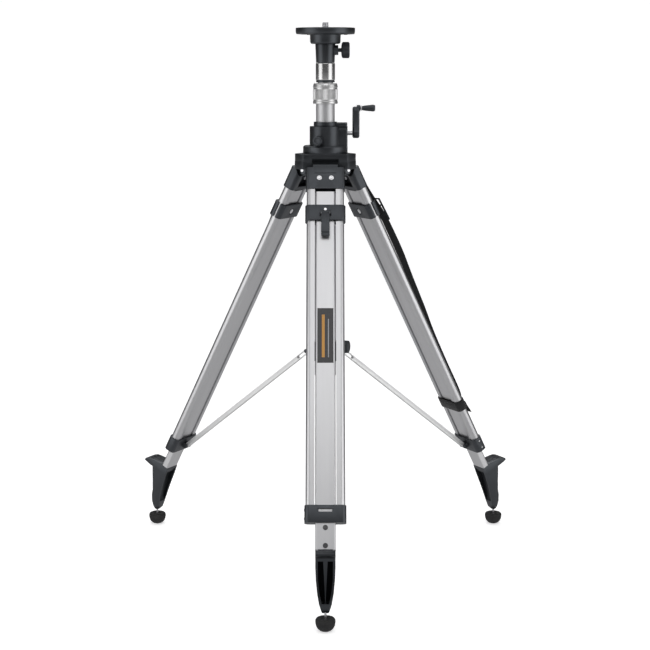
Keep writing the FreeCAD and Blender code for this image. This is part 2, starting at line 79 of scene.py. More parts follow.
def leg_place(leg):
    """X across the leg, Y out of its outer face, Z up along it, origin at the hinge."""
    return turned_to(LEGS[leg]) @ Matrix.Translation(HINGE) @ Matrix.Rotation(TILT, 4, "X")


def along_x(x, y, z):
    """Z of the drawing becomes +X."""
    return Matrix.Translation((x, y, z)) @ Matrix.Rotation(rad(90), 4, "Y")


def knob_place(azimuth, reach, height):
    """Z of the drawing points outward at an azimuth, starting at a reach from the column's axis."""
    a = rad(azimuth)
    start = Vector((math.cos(a) * reach, math.sin(a) * reach, height))
    return Matrix.Translation(start) @ Matrix.Rotation(a, 4, "Z") @ Matrix.Rotation(rad(90), 4, "Y")


def leg_direction(leg):
    """Unit vector up along the leg."""
    return (leg_place(leg).to_3x3() @ Vector((0, 0, 1))).normalized()


# ---------------------------------------------------------------- materials
class Finish:
    """A node material with a few short ways to wire it."""

    def __init__(self, name):
        self.material = bpy.data.materials.new(name)
        self.material.use_nodes = True
        self.nodes = self.material.node_tree.nodes
        self.links = self.material.node_tree.links
        self.shader = self.nodes["Principled BSDF"]
        self.place = self.nodes.new("ShaderNodeTexCoord").outputs["Object"]

    def set(self, **values):
        """Fixed values for the shader's sockets, named with underscores."""
        for key, value in values.items():
            self.shader.inputs[key.replace("_", " ")].default_value = value
        return self

    def node(self, kind, inputs=None, **settings):
        made = self.nodes.new("ShaderNode" + kind)
        for key, value in settings.items():
            setattr(made, key, value)
        for key, value in (inputs or {}).items():
            if isinstance(value, bpy.types.NodeSocket):
                self.links.new(value, made.inputs[key])
            else:
                made.inputs[key].default_value = value
        return made

    def stretched(self, scale, lean=(0, 0, 0)):
        """Object coordinates turned by lean, then scaled per axis."""
        turn = self.node("Mapping", {"Vector": self.place, "Rotation": lean})
        return self.node("Mapping", {"Vector": turn.outputs[0], "Scale": scale}).outputs[0]

    def noise(self, vector, scale=1.0, detail=3.0, roughness=0.55):
        inputs = {"Vector": vector, "Scale": scale, "Detail": detail, "Roughness": roughness}
        made = self.node("TexNoise", inputs)
        return made.outputs["Fac"]

    def ramp(self, value, stops):
        """Colour from a value by (position, colour) stops."""
        made = self.node("ValToRGB", {"Fac": value})
        row = made.color_ramp.elements
        while len(row) < len(stops):
            row.new(0.5)
        for element, (place, colour) in zip(row, stops):
            element.position = place
            element.color = (*colour, 1.0) if len(colour) == 3 else colour
        return made.outputs["Color"]

    def between(self, value, low, high):
        """A 0 to 1 value spread from low to high."""
        made = self.node("MapRange", {"Value": value, "To Min": low, "To Max": high})
        return made.outputs["Result"]

    def add(self, a, b, share=1.0):
        """a plus a share of b."""
        scaled = self.node("Math", {0: b, 1: share}, operation="MULTIPLY")
        return self.node("Math", {0: a, 1: scaled.outputs[0]}, operation="ADD").outputs[0]

    def bump(self, height, depth, strength=1.0):
        made = self.node("Bump", {"Height": height, "Distance": depth, "Strength": strength})
        self.links.new(made.outputs["Normal"], self.shader.inputs["Normal"])
        return self

    def to(self, socket, output):
        self.links.new(output, self.shader.inputs[socket])
        return self


def extrusion_metal(name, direction, light=0.74, dark=0.68, rough=0.32):
    """Satin anodised aluminium with fine draw lines along its length."""
    f = Finish(name).set(Metallic=1.0, Roughness=rough)
    lean = Vector(direction).rotation_difference(Vector((0, 0, 1))).to_euler()
    lines = f.noise(f.stretched((1500, 1500, 5), lean), detail=2)
    broad = f.noise(f.stretched((30, 30, 2.2), lean), detail=2)
    stops = [(0.3, (dark, dark, dark + 0.012)), (0.7, (light, light, light + 0.01))]
    f.to("Base Color", f.ramp(broad, stops))
    f.to("Roughness", f.between(f.add(lines, broad, 0.6), rough - 0.07, rough + 0.08))
    return f.bump(lines, 0.00004, 0.35).material


def turned_metal(name, tone, rough, ring_scale=2600):
    """Bright turned metal with faint tool rings round the column's axis."""
    f = Finish(name).set(Metallic=1.0, Roughness=rough)
    rings = f.noise(f.stretched((2, 2, ring_scale)), detail=1)
    smear = f.noise(f.stretched((25, 25, 60)), detail=3)
    f.to("Base Color", f.ramp(smear, [(0.3, (tone - 0.04,) * 3), (0.7, (tone,) * 3)]))
    f.to("Roughness", f.between(f.add(rings, smear, 0.8), rough * 0.7, rough * 1.35))
    return f.bump(rings, 0.00002, 0.3).material


def steel_metal(name, tone):
    """Plated steel of screws, pins and the crank shaft."""
    f = Finish(name).set(Metallic=1.0, Roughness=0.3)
    spots = f.noise(f.place, 900, 3)
    cloud = f.noise(f.place, 60, 3)
    low, high = tone * 0.88, tone * 1.1
    f.to("Base Color", f.ramp(cloud, [(0.35, (low, low, low * 1.03)), (0.65, (high, high, high * 1.02))]))
    f.to("Roughness", f.between(spots, 0.2, 0.4))
    return f.bump(spots, 0.00002, 0.3).material


def coated_black(name, tone, rough, grain, depth, index=1.7):
    """Black powder coat or moulded nylon: fine grain, paler where handling has rubbed it."""
    f = Finish(name).set(Roughness=rough, IOR=index, Specular_IOR_Level=0.7, Specular_Tint=COOL_SHINE)
    fine = f.noise(f.place, grain, 3)
    wear = f.noise(f.place, 26, 4, 0.65)
    low, high = tone * 0.8, tone * 1.3
    stops = [(0.35, (low, low * 1.05, low * 1.25)), (0.7, (high, high * 1.04, high * 1.2))]
    f.to("Base Color", f.ramp(wear, stops))
    f.to("Roughness", f.between(f.add(fine, wear, 0.7), rough - 0.13, rough + 0.12))
    return f.bump(fine, depth, 0.5).material


def moulded_rubber():
    """Dull black rubber with fine pores and a little dust."""
    f = Finish("moulded rubber").set(Roughness=0.72)
    pores = f.node("TexVoronoi", {"Vector": f.place, "Scale": 700.0}).outputs["Distance"]
    dust = f.noise(f.place, 45, 5, 0.7)
    f.to("Base Color", f.ramp(dust, [(0.4, (0.008, 0.008, 0.009)), (0.75, (0.024, 0.024, 0.023))]))
    f.to("Roughness", f.between(dust, 0.58, 0.85))
    return f.bump(f.add(pores, dust, 0.5), 0.00012, 0.5).material


def woven_webbing():
    """Black polyester webbing; the weave follows the strap's own UV map, which is in metres."""
    f = Finish("woven webbing").set(Roughness=0.78, Sheen_Weight=0.12, Sheen_Roughness=0.5)
    uv = f.node("UVMap", uv_map="UVMap").outputs["UV"]
    weft = f.node("TexWave", {"Vector": uv, "Scale": 190.0, "Distortion": 0.4}, bands_direction="Y")
    warp = f.node("TexWave", {"Vector": uv, "Scale": 260.0, "Distortion": 0.3}, bands_direction="X")
    weave = f.node("Math", {0: weft.outputs["Fac"], 1: warp.outputs["Fac"]}, operation="MULTIPLY").outputs[0]
    f.to("Base Color", f.ramp(weave, [(0.1, (0.003, 0.003, 0.004)), (0.8, (0.010, 0.010, 0.011))]))
    return f.bump(weave, 0.00035, 0.8).material


def label_print():
    """Blank dark label with a plain amber bar and one grey rule."""
    f = Finish("label film").set(Roughness=0.32, Coat_Weight=0.3, Coat_Roughness=0.15)
    uv = f.node("UVMap", uv_map="UVMap").outputs["UV"]
    across, up = (f.node("SeparateXYZ", {"Vector": uv}).outputs[i] for i in (0, 1))

    def inside(value, low, high):
        above = f.node("Math", {0: value, 1: low}, operation="GREATER_THAN").outputs[0]
        below = f.node("Math", {0: value, 1: high}, operation="LESS_THAN").outputs[0]
        return f.node("Math", {0: above, 1: below}, operation="MULTIPLY").outputs[0]

    def bar(x0, x1, y0, y1):
        sides = {0: inside(across, x0, x1), 1: inside(up, y0, y1)}
        return f.node("Math", sides, operation="MULTIPLY").outputs[0]

    def laid_over(below, where, colour):
        mix = f.node("Mix", {"Factor": where, "A": below, "B": colour}, data_type="RGBA")
        return mix.outputs["Result"]

    grain = f.noise(f.place, 300, 3)
    base = f.ramp(grain, [(0.3, (0.012, 0.012, 0.013)), (0.7, (0.022, 0.022, 0.024))])
    barred = laid_over(base, bar(0.28, 0.46, 0.10, 0.88), AMBER)
    f.to("Base Color", laid_over(barred, bar(0.66, 0.72, 0.10, 0.80), RULE_GREY))
    return f.bump(grain, 0.00002, 0.3).material


ALUMINIUM = {leg: extrusion_metal("drawn aluminium " + leg + " leg", leg_direction(leg)) for leg in LEGS}
UPRIGHT = extrusion_metal("drawn aluminium column", (0, 0, 1), 0.80, 0.74, 0.46)
BRIGHT = turned_metal("polished spigot", 0.78, 0.17)
TURNED = turned_metal("turned aluminium", 0.82, 0.26)
STEEL = steel_metal("zinc plated steel", 0.84)
STRUT_METAL = turned_metal("pale rolled aluminium", 0.97, 0.42)
DARK_STEEL = steel_metal("blackened steel", 0.12)
CASTING = coated_black("black powder coat", 0.002, 0.30, 1500, 0.00005)
NYLON = coated_black("moulded black nylon", 0.003, 0.34, 2200, 0.00005)
GLOSSY = coated_black("smooth black nylon", 0.002, 0.28, 900, 0.00002)
# painted shade: a near-black, dull material that stands in for the shade on the shoe pocket's floor and walls
POCKET_PAINTED_SHADE = coated_black("painted shade in the shoe pocket", 0.0008, 0.75, 1200, 0.00008, 1.15)
BUCKLE = coated_black("moulded acetal", 0.002, 0.45, 900, 0.00002, 1.35)
RUBBER = moulded_rubber()
WEBBING = woven_webbing()
LABEL = label_print()


# ---------------------------------------------------------------- mesh helpers
def finished(mesh, name, material, body, *nodes, crease=32):
    """Mesh in metres becomes a piece that rides on a body and stands for CAD nodes."""
    mesh.materials.clear()
    mesh.materials.append(material)
    mesh.shade_smooth()
    mesh.set_sharp_from_angle(angle=rad(crease))
    piece = bpy.data.objects.new(name, mesh)
    bpy.context.scene.collection.objects.link(piece)
    if nodes:
        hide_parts(*nodes)
    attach(piece, body)
    return piece


def to_mesh(bm, name, place=Matrix.Identity(4)):
    """bmesh in millimetres to a mesh in metres at its place."""
    bmesh.ops.remove_doubles(bm, verts=bm.verts, dist=0.002)
    bmesh.ops.recalc_face_normals(bm, faces=bm.faces)
    bm.transform(Matrix.Scale(mm, 4) @ place)
    mesh = bpy.data.meshes.new(name)
    bm.to_mesh(mesh)
    bm.free()
    return mesh


def on_holder(name, mesh):
    """The mesh on an object of its own, so that modifiers can work on it."""
    holder = bpy.data.objects.new(name, mesh)
    bpy.context.scene.collection.objects.link(holder)
    return holder


def plain_result(holder):
    """The holder's mesh with its modifiers applied; the holder goes."""
    bpy.context.view_layer.update()
    seen = holder.evaluated_get(bpy.context.evaluated_depsgraph_get())
    result = bpy.data.meshes.new_from_object(seen)
    bpy.data.objects.remove(holder)
    return result


def rounded_over(mesh, width, segments=3, angle=30):
    """Every edge sharper than the angle is rounded over by a width in millimetres."""
    holder = on_holder("holder", mesh)
    made = holder.modifiers.new("bevel", "BEVEL")
    made.width = width * mm
    made.segments = segments
    made.limit_method = "ANGLE"
    made.angle_limit = rad(angle)
    made.use_clamp_overlap = True
    return plain_result(holder)


def clean_copy(node):
    """The CAD node's mesh with its seams merged and its flat faces whole."""
    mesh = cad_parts[node].data.copy()
    bm = bmesh.new()
    bm.from_mesh(mesh)
    bmesh.ops.remove_doubles(bm, verts=bm.verts, dist=2e-6)
    bmesh.ops.dissolve_limit(bm, angle_limit=rad(2.0), verts=bm.verts, edges=bm.edges)
    bm.to_mesh(mesh)
    bm.free()
    return mesh


def softened(node, body, material, width, segments=3):
    """A moulded or cast piece: the CAD shape with every sharp edge rounded over."""
    mesh = rounded_over(clean_copy(node), width, segments)
    return finished(mesh, node + ".rounded", material, body, node, crease=40)


def lathe(profile, segments=96):
    """Turned shape from (radius, height) points; ends on the axis close to a pole."""
    bm = bmesh.new()
    rings = []
    for radius, height in profile:
        if radius < 1e-6:
            rings.append([bm.verts.new((0, 0, height))])
            continue
        ring = []
        for index in range(segments):
            a = 2 * math.pi * index / segments
            ring.append(bm.verts.new((radius * math.cos(a), radius * math.sin(a), height)))
        rings.append(ring)
    for low, high in zip(rings, rings[1:]):
        for index in range(segments):
            after = (index + 1) % segments
            corners = [low[index % len(low)], low[after % len(low)]]
            corners += [high[after % len(high)], high[index % len(high)]]
            distinct = list(dict.fromkeys(corners))
            if len(distinct) > 2:
                bm.faces.new(distinct)
    return bm


def eased(points, ease):
    """Turns each inner corner of a profile into a short arc of three points."""
    result = [points[0]]
    for before, corner, after in zip(points, points[1:], points[2:]):
        b, c, a = Vector(before), Vector(corner), Vector(after)
        reach = min(ease, (b - c).length * 0.45, (a - c).length * 0.45)
        start, end = c + (b - c).normalized() * reach, c + (a - c).normalized() * reach
        middle = (start + end) * 0.25 + c * 0.5
        result += [tuple(start), tuple(middle), tuple(end)]
    return result + [points[-1]]


def block(bm, x0, x1, y0, y1, z0, z1):
    """Adds a box between two corners."""
    made = bmesh.ops.create_cube(bm, size=1.0)["verts"]
    centre = Vector(((x0 + x1) / 2, (y0 + y1) / 2, (z0 + z1) / 2))
    size = Vector((x1 - x0, y1 - y0, z1 - z0))
    for v in made:
        v.co = Vector((v.co.x * size.x, v.co.y * size.y, v.co.z * size.z)) + centre


def swept_outline(outline, depth):
    """Closed (x, y) outline raised from z = 0 to depth."""
    bm = bmesh.new()
    low = [bm.verts.new((x, y, 0.0)) for x, y in outline]
    high = [bm.verts.new((x, y, depth)) for x, y in outline]
    bm.faces.new(list(reversed(low)))
    bm.faces.new(high)
    for i in range(len(outline)):
        j = (i + 1) % len(outline)
        bm.faces.new([low[i], low[j], high[j], high[i]])
    return bm


def merged(*meshes):
    """Several meshes as one."""
    bm = bmesh.new()
    for mesh in meshes:
        bm.from_mesh(mesh)
    result = bpy.data.meshes.new("merged")
    bm.to_mesh(result)
    bm.free()
    return result


# ---------------------------------------------------------------- geometry nodes
def new_tree(name, sizes):
    """Empty node tree with a geometry input, named sizes and a material."""
    tree = bpy.data.node_groups.new(name, "GeometryNodeTree")
    face = tree.interface
    face.new_socket("Base", in_out="INPUT", socket_type="NodeSocketGeometry")
    for label, kind in sizes:
        face.new_socket(label, in_out="INPUT", socket_type="NodeSocket" + kind)
    face.new_socket("Finish", in_out="INPUT", socket_type="NodeSocketMaterial")
    face.new_socket("Result", in_out="OUTPUT", socket_type="NodeSocketGeometry")
    return tree, tree.nodes.new("NodeGroupInput").outputs, tree.nodes.new("NodeGroupOutput")


def wire(tree, kind, inputs=None, **settings):
    """A node whose inputs are values or other nodes' outputs."""
    made = tree.nodes.new(kind)
    for key, value in settings.items():
        setattr(made, key, value)
    for key, value in (inputs or {}).items():
        if isinstance(value, bpy.types.NodeSocket):
            tree.links.new(value, made.inputs[key])
        else:
            made.inputs[key].default_value = value
    return made


def rod(tree, sides, radius, length):
    """A Cylinder node along Z."""
    return wire(tree, "GeometryNodeMeshCylinder", {"Vertices": sides, "Radius": radius, "Depth": length})


def moved(tree, shape, way, value):
    """A Transform node: way is Translation or Rotation."""
    return wire(tree, "GeometryNodeTransform", {"Geometry": shape.outputs[0], way: value})


def copies(tree, points, shape, **more):
    """One copy of the shape on every point."""
    inputs = {"Points": points.outputs[0], "Instance": shape.outputs[0], **more}
    return wire(tree, "GeometryNodeInstanceOnPoints", inputs)


def close_tree(tree, outlet, base, repeats, finish):
    """Joins the base and its repeats, realizes them and sets the finish."""
    real = wire(tree, "GeometryNodeRealizeInstances", {"Geometry": repeats})
    both = tree.nodes.new("GeometryNodeJoinGeometry")
    tree.links.new(base, both.inputs[0])
    tree.links.new(real.outputs[0], both.inputs[0])
    painted = wire(tree, "GeometryNodeSetMaterial", {"Geometry": both.outputs[0], "Material": finish})
    tree.links.new(painted.outputs[0], outlet.inputs[0])
    return tree


def ridge_ring_tree():
    """Ridges standing round the Z axis, such as a knurl or a knob's grip."""
    sizes = [("Count", "Int"), ("Radius", "Float"), ("Width", "Float"), ("Depth", "Float")]
    sizes += [("Length", "Float"), ("Height", "Float")]
    tree, size, outlet = new_tree("ridge ring", sizes)
    circle = wire(tree, "GeometryNodeMeshCircle", {"Vertices": size["Count"], "Radius": size["Radius"]})
    lift = wire(tree, "ShaderNodeCombineXYZ", {"Z": size["Height"]})
    raised = moved(tree, circle, "Translation", lift.outputs[0])
    ridge = rod(tree, 6, 0.5, 1.0)
    shape = wire(tree, "ShaderNodeCombineXYZ", {"X": size["Depth"], "Y": size["Width"], "Z": size["Length"]})
    spot = wire(tree, "GeometryNodeInputPosition")
    flat = wire(tree, "ShaderNodeVectorMath", {0: spot.outputs[0], 1: (1, 1, 0)}, operation="MULTIPLY")
    face = wire(tree, "FunctionNodeAlignRotationToVector", {"Vector": flat.outputs[0]}, axis="X",
                pivot_axis="Z")
    put = copies(tree, raised, ridge, Rotation=face.outputs[0], Scale=shape.outputs[0])
    return close_tree(tree, outlet, size["Base"], put.outputs[0], size["Finish"])


def rib_row_tree():
    """A straight row of rounded ribs along Y, each one lying across X."""
    sizes = [("Count", "Int"), ("Pitch", "Float"), ("Radius", "Float"), ("Length", "Float")]
    tree, size, outlet = new_tree("rib row", sizes)
    step = wire(tree, "ShaderNodeCombineXYZ", {"Y": size["Pitch"]})
    line = wire(tree, "GeometryNodeMeshLine", {"Count": size["Count"], "Offset": step.outputs[0]})
    rib = rod(tree, 12, size["Radius"], size["Length"])
    laid = moved(tree, rib, "Rotation", (0, rad(90), 0))
    put = copies(tree, line, laid)
    return close_tree(tree, outlet, size["Base"], put.outputs[0], size["Finish"])


def thread_tree():
    """A screw thread: a small ridge swept along a helix round the Z axis."""
    sizes = [("Turns", "Float"), ("Radius", "Float"), ("Length", "Float"), ("Ridge", "Float")]
    tree, size, outlet = new_tree("screw thread", sizes)
    helix = wire(tree, "GeometryNodeCurveSpiral",
                 {"Resolution": 48, "Rotations": size["Turns"], "Start Radius": size["Radius"],
                  "End Radius": size["Radius"], "Height": size["Length"]})
    ridge = wire(tree, "GeometryNodeCurvePrimitiveCircle", {"Resolution": 6, "Radius": size["Ridge"]})
    swept = wire(tree, "GeometryNodeCurveToMesh",
                 {"Curve": helix.outputs[0], "Profile Curve": ridge.outputs[0], "Fill Caps": True})
    return close_tree(tree, outlet, size["Base"], swept.outputs[0], size["Finish"])


def screw_circle_tree():
    """Socket screws on a circle: a head with a hexagon socket, repeated round the Z axis."""
    sizes = [("Count", "Int"), ("Radius", "Float"), ("Head", "Float"), ("Depth", "Float")]
    tree, size, outlet = new_tree("screw circle", sizes)
    circle = wire(tree, "GeometryNodeMeshCircle", {"Vertices": size["Count"], "Radius": size["Radius"]})
    head = rod(tree, 24, size["Head"], size["Depth"])
    half = wire(tree, "ShaderNodeMath", {0: size["Head"], 1: 0.5}, operation="MULTIPLY")
    deep = wire(tree, "ShaderNodeMath", {0: size["Depth"], 1: 0.9}, operation="MULTIPLY")
    socket = rod(tree, 6, half.outputs[0], size["Depth"])
    raise_by = wire(tree, "ShaderNodeCombineXYZ", {"Z": deep.outputs[0]})
    lifted = moved(tree, socket, "Translation", raise_by.outputs[0])
    cut = wire(tree, "GeometryNodeMeshBoolean", {"Mesh 1": head.outputs[0], "Mesh 2": lifted.outputs[0]},
               operation="DIFFERENCE")
    put = copies(tree, circle, cut)
    return close_tree(tree, outlet, size["Base"], put.outputs[0], size["Finish"])


RIDGE_RING = ridge_ring_tree()
RIB_ROW = rib_row_tree()
THREAD = thread_tree()
SCREW_CIRCLE = screw_circle_tree()


def grown(tree, base, material, **sizes):
    """Runs a node tree on a base mesh (in millimetres) and gives back the plain mesh."""
    holder = on_holder("grown", base or bpy.data.meshes.new("empty"))
    made = holder.modifiers.new("grow", "NODES")
    made.node_group = tree
    for item in tree.interface.items_tree:
        if item.in_out == "INPUT" and item.name in sizes:
            made[item.identifier] = sizes[item.name]
        if item.in_out == "INPUT" and item.name == "Finish":
            made[item.identifier] = material
    return plain_result(holder)


def placed(mesh, place=Matrix.Identity(4)):
    """Millimetre mesh to metres at its place."""
    mesh.transform(Matrix.Scale(mm, 4) @ place)
    return mesh


def raw(bm):
    """bmesh to a mesh that stays in millimetres."""
    bmesh.ops.recalc_face_normals(bm, faces=bm.faces)
    mesh = bpy.data.meshes.new("raw")
    bm.to_mesh(mesh)
    bm.free()
    return mesh


# ---------------------------------------------------------------- camera and light
def add_camera():
    """The view from straight in front, at about the height of the knurled nut, dipped a little."""
    data = bpy.data.cameras.new("camera")
    data.lens, data.sensor_width = LENS, 36.0
    data.clip_start, data.clip_end = 0.05, 60.0
    camera = bpy.data.objects.new("camera", data)
    camera.location = VIEWPOINT
    camera.rotation_euler = (rad(90.0) - VIEW_DIP, 0, 0)
    bpy.context.scene.collection.objects.link(camera)
    bpy.context.scene.camera = camera


def area_light(name, where, aim, size, power):
    """A rectangular softbox turned towards its aim."""
    data = bpy.data.lights.new(name, "AREA")
    data.shape, data.size, data.size_y = "RECTANGLE", size[0], size[1]
    data.energy = power
    lamp = bpy.data.objects.new(name, data)
    lamp.location = where
    lamp.rotation_euler = (Vector(aim) - Vector(where)).to_track_quat("-Z", "Y").to_euler()
    bpy.context.scene.collection.objects.link(lamp)


def add_light():
    """Tall softboxes to the left and right, one above the front, one high behind, and a dim grey room."""
    world = bpy.data.worlds.new("studio")
    world.use_nodes = True
    nodes, links = world.node_tree.nodes, world.node_tree.links
    place = nodes.new("ShaderNodeTexCoord")
    split = nodes.new("ShaderNodeSeparateXYZ")
    span = nodes.new("ShaderNodeMapRange")
    room = nodes.new("ShaderNodeValToRGB")
    span.inputs["From Min"].default_value = -1.0
    row = room.color_ramp.elements
    while len(row) < len(ROOM_GREYS):
        row.new(0.5)
    for element, (spot, grey) in zip(row, ROOM_GREYS):
        element.position, element.color = spot, (grey, grey, grey * 1.01, 1)
    links.new(place.outputs["Generated"], split.inputs[0])
    links.new(split.outputs["Z"], span.inputs["Value"])
    links.new(span.outputs["Result"], room.inputs["Fac"])
    links.new(room.outputs["Color"], nodes["Background"].inputs["Color"])
    nodes["Background"].inputs["Strength"].default_value = 1.0
    bpy.context.scene.world = world
    bpy.context.scene.view_settings.view_transform = "Standard"
    area_light("left softbox", (-2.8, -1.5, 1.12), (0, 0, 0.9), (2.6, 3.2), 28)
    area_light("right softbox", (2.8, -1.4, 1.12), (0, 0, 0.9), (2.6, 3.2), 30)
    area_light("overhead softbox", (0.1, -2.7, 3.3), (0, 0, 0.5), (2.6, 1.5), 12)
    area_light("back softbox", (-0.4, 2.6, 3.4), (0, 0, 0.8), (2.4, 1.2), 16)


def studio_surface(name, bm, finish):
    """A floor or backdrop that bright metal doesn't mirror."""
    mesh = bpy.data.meshes.new(name)
    bm.to_mesh(mesh)
    bm.free()
    mesh.materials.append(finish)
    surface = bpy.data.objects.new(name, mesh)
    surface.visible_glossy = False
    bpy.context.scene.collection.objects.link(surface)
    return surface


def add_backdrop():
    """A round pale paper wall that only closes the view: it gives no light and no mirror image."""
    bm = bmesh.new()
    bmesh.ops.create_uvsphere(bm, u_segments=48, v_segments=24, radius=30.0)
    bmesh.ops.reverse_faces(bm, faces=bm.faces)
    f = Finish("backdrop paper").set(Roughness=0.9, Emission_Strength=1.0)
    tone = f.ramp(f.noise(f.place, 0.4, 2), [(0.3, (0.97, 0.97, 0.97)), (0.7, (1.0, 1.0, 1.0))])
    f.to("Base Color", tone)
    f.to("Emission Color", tone)
    wall = studio_surface("backdrop", bm, f.material)
    wall.visible_diffuse = False
    wall.visible_transmission = False
    wall.visible_shadow = False


def add_floor():
    """A pale sweep: the floor runs back and curves up."""
    bm = bmesh.new()
    back, turn, half_width = 9.0, 3.0, 16.0
    curve = [(-14.0, 0.0), (back, 0.0)]
    for a in range(15, 91, 15):
        curve.append((back + turn * math.sin(rad(a)), turn - turn * math.cos(rad(a))))
    curve.append((back + turn, 14.0))
    rows = [[bm.verts.new((x, y, z)) for x in (-half_width, half_width)] for y, z in curve]
    for low, high in zip(rows, rows[1:]):
        bm.faces.new([low[0], low[1], high[1], high[0]])
    f = Finish("studio floor").set(Roughness=0.9, Emission_Strength=0.52, Emission_Color=(1, 1, 1, 1))
    f.to("Base Color", f.ramp(f.noise(f.place, 3, 2), [(0.3, (0.93, 0.93, 0.93)), (0.7, (0.95, 0.95, 0.95))]))
    floor = studio_surface("floor", bm, f.material)
    floor.data.shade_smooth()


add_camera()
add_light()
add_floor()
add_backdrop()


# ---------------------------------------------------------------- head and column
def instrument_head():
    """The round disc on its hub, with small screws and ribs under it."""
    top = [(0, 1372.9), (12, 1372.9), (12.5, 1372.3), (66, 1372.3), (66.5, 1373), (74.4, 1373)]
    underside = [(74.4, 1363.5), (73.2, 1357.8), (70.5, 1357), (66, 1357), (64.5, 1359.5), (46, 1359.5)]
    hub = [(43, 1357), (38.6, 1356), (38.1, 1338), (37.2, 1335), (34.6, 1333.2), (17.0, 1333.2), (16, 1336),
           (0, 1336)]
    base = raw(lathe(eased(top + underside + hub, 1.4), 128))
    nubs = grown(SCREW_CIRCLE, None, CASTING, Count=6, Radius=55.0, Head=4.0, Depth=3.4)
    hung = Matrix.Rotation(rad(20), 4, "Z") @ Matrix.Rotation(rad(180), 4, "X")
    nubs.transform(Matrix.Translation((0, 0, DISC_UNDERSIDE)) @ hung)
    ribs = grown(RIDGE_RING, None, CASTING, Count=18, Radius=55.5, Width=2.6, Depth=19.0, Length=3.2,
                 Height=DISC_UNDERSIDE + 1.2)
    finished(placed(merged(base, nubs, ribs)), "mounting_disc", CASTING, "head", "head_plate")


def threaded_stud():
    """The stud that holds the instrument, threaded above the disc."""
    profile = eased([(0, 1340), (6, 1340), (6, 1373.2), (7.1, 1373.2), (7.1, 1385.2), (5.6, 1386.9),
                     (0, 1386.9)], 0.8)
    thread = grown(THREAD, None, STEEL, Turns=5.0, Radius=7.1, Length=11.0, Ridge=0.8)
    thread.transform(Matrix.Translation((0, 0, THREAD_START)))
    stud = placed(merged(raw(lathe(profile, 64)), thread))
    finished(stud, "stud_threaded", STEEL, "head", "instrument_stud")


def socket_and_boss():
    """The socket under the disc with its side boss for the thumbscrew."""
    mesh = rounded_over(clean_copy("head_socket"), 0.9, 3, 35)
    finished(mesh, "head_socket.rounded", CASTING, "head", "head_socket")


def ribbed_knob(name, body, node, place, radius, height, count, stem, reach):
    """Round knob with a grooved rim, a dished face and its screw behind it."""
    rim = radius - 1.2
    screw = [(0, -reach), (stem, -reach), (stem, -1), (radius * 0.5, -1), (radius * 0.8, 0)]
    face = [(rim, 1.6), (rim, height - 1.5), (rim - 2.2, height), (radius * 0.55, height)]
    dish = [(radius * 0.48, height - 1.2), (0, height - 1.2)]
    base = raw(lathe(eased(screw + face + dish, 1.0), 80))
    grips = grown(RIDGE_RING, base, NYLON, Count=count, Radius=rim, Width=radius * 3.4 / count, Depth=2.2,
                  Length=height - 4.6, Height=(height + 0.4) / 2)
    finished(placed(grips, place), name, NYLON, body, node)


def knurled_nut():
    """The clamping nut round the column: two collars and a knurled band."""
    lower = [(24.4, 1184.7), (30.3, 1184.7), (31.3, 1186), (31.3, 1190.6), (30.2, 1191.6), (30.2, 1194.4)]
    grip = [(30.5, 1195.2), (30.5, 1221.5)]
    upper = [(30.2, 1222.3), (30.2, 1225), (31.3, 1226), (31.3, 1228.4), (30.4, 1229.3), (26.3, 1229.3)]
    inner = [(26.3, 1223.2), (23.95, 1223.0), (23.95, 1185.4), (24.4, 1184.7)]
    base = raw(lathe(eased(lower + grip + upper, 0.5) + inner, 128))
    mesh = grown(RIDGE_RING, base, TURNED, Count=84, Radius=30.4, Width=1.5, Depth=1.7, Length=25.6,
                 Height=NUT_MIDDLE)
    finished(placed(mesh), "chuck_nut.knurled", TURNED, "chuck_nut", "chuck_nut")


def polished_spigot():
    """The bright sleeve with its spigot inside the socket, and the black ring under it."""
    tail = [(0, 1205), (15.9, 1205), (15.9, 1243.5), (23.2, 1243.5), (24.2, 1244.8)]
    top = [(24.2, 1284.8), (23.2, 1286), (17.0, 1286), (17.0, 1325), (15.5, 1326), (0, 1326)]
    spigot = placed(raw(lathe(eased(tail + top, 0.9), 128)))
    finished(spigot, "spigot.polished", BRIGHT, "upper_column", "spigot")
    ring = eased([(16.2, 1238.1), (22.9, 1238.1), (23.5, 1239.2), (23.5, 1242.6), (22.9, 1243.4),
                  (16.2, 1243.4), (16.2, 1238.1)], 0.6)
    finished(placed(raw(lathe(ring, 96))), "spigot_ring", NYLON, "upper_column")


def tapered_grip():
    """Crank grip: pale collar and a swelling handle."""
    collar = raw(lathe(eased([(4.1, 0), (6.4, 0), (6.4, 3.1), (4.1, 3.1), (4.1, 0)], 0.5), 48))
    finished(placed(collar, along_x(*GRIP_START)), "grip_collar", STEEL, "crank_grip")
    profile = eased([(4.1, 3.2), (5.3, 3.2), (6.0, 6), (7.4, 16), (8.6, 28), (8.8, 33), (7.2, 36.4),
                     (4.0, 37), (0, 37)], 1.2)
    hole = [(0, 33.6), (4.1, 33.5)]
    shell = raw(lathe(hole + profile, 64))
    finished(placed(shell, along_x(*GRIP_START)), "crank_grip.turned", GLOSSY, "crank_grip", "crank_grip")


instrument_head()
threaded_stud()
socket_and_boss()
ribbed_knob("thumbscrew.ribbed", "head_thumbscrew", "head_thumbscrew", along_x(41.0, 0, 1318),
            radius=20.3, height=20.0, count=40, stem=4.9, reach=23.4)
ribbed_knob("column_lock.ribbed", "column_lock", "column_lock_knob", knob_place(250, 45.0, 1094),
            radius=13.0, height=17.0, count=22, stem=3.9, reach=20.0)
ribbed_knob("hub_knob.ribbed", "hub_knob", "hub_knob", knob_place(345, 42.5, 563),
            radius=16.5, height=21.5, count=24, stem=3.9, reach=14.0)
knurled_nut()
polished_spigot()
tapered_grip()

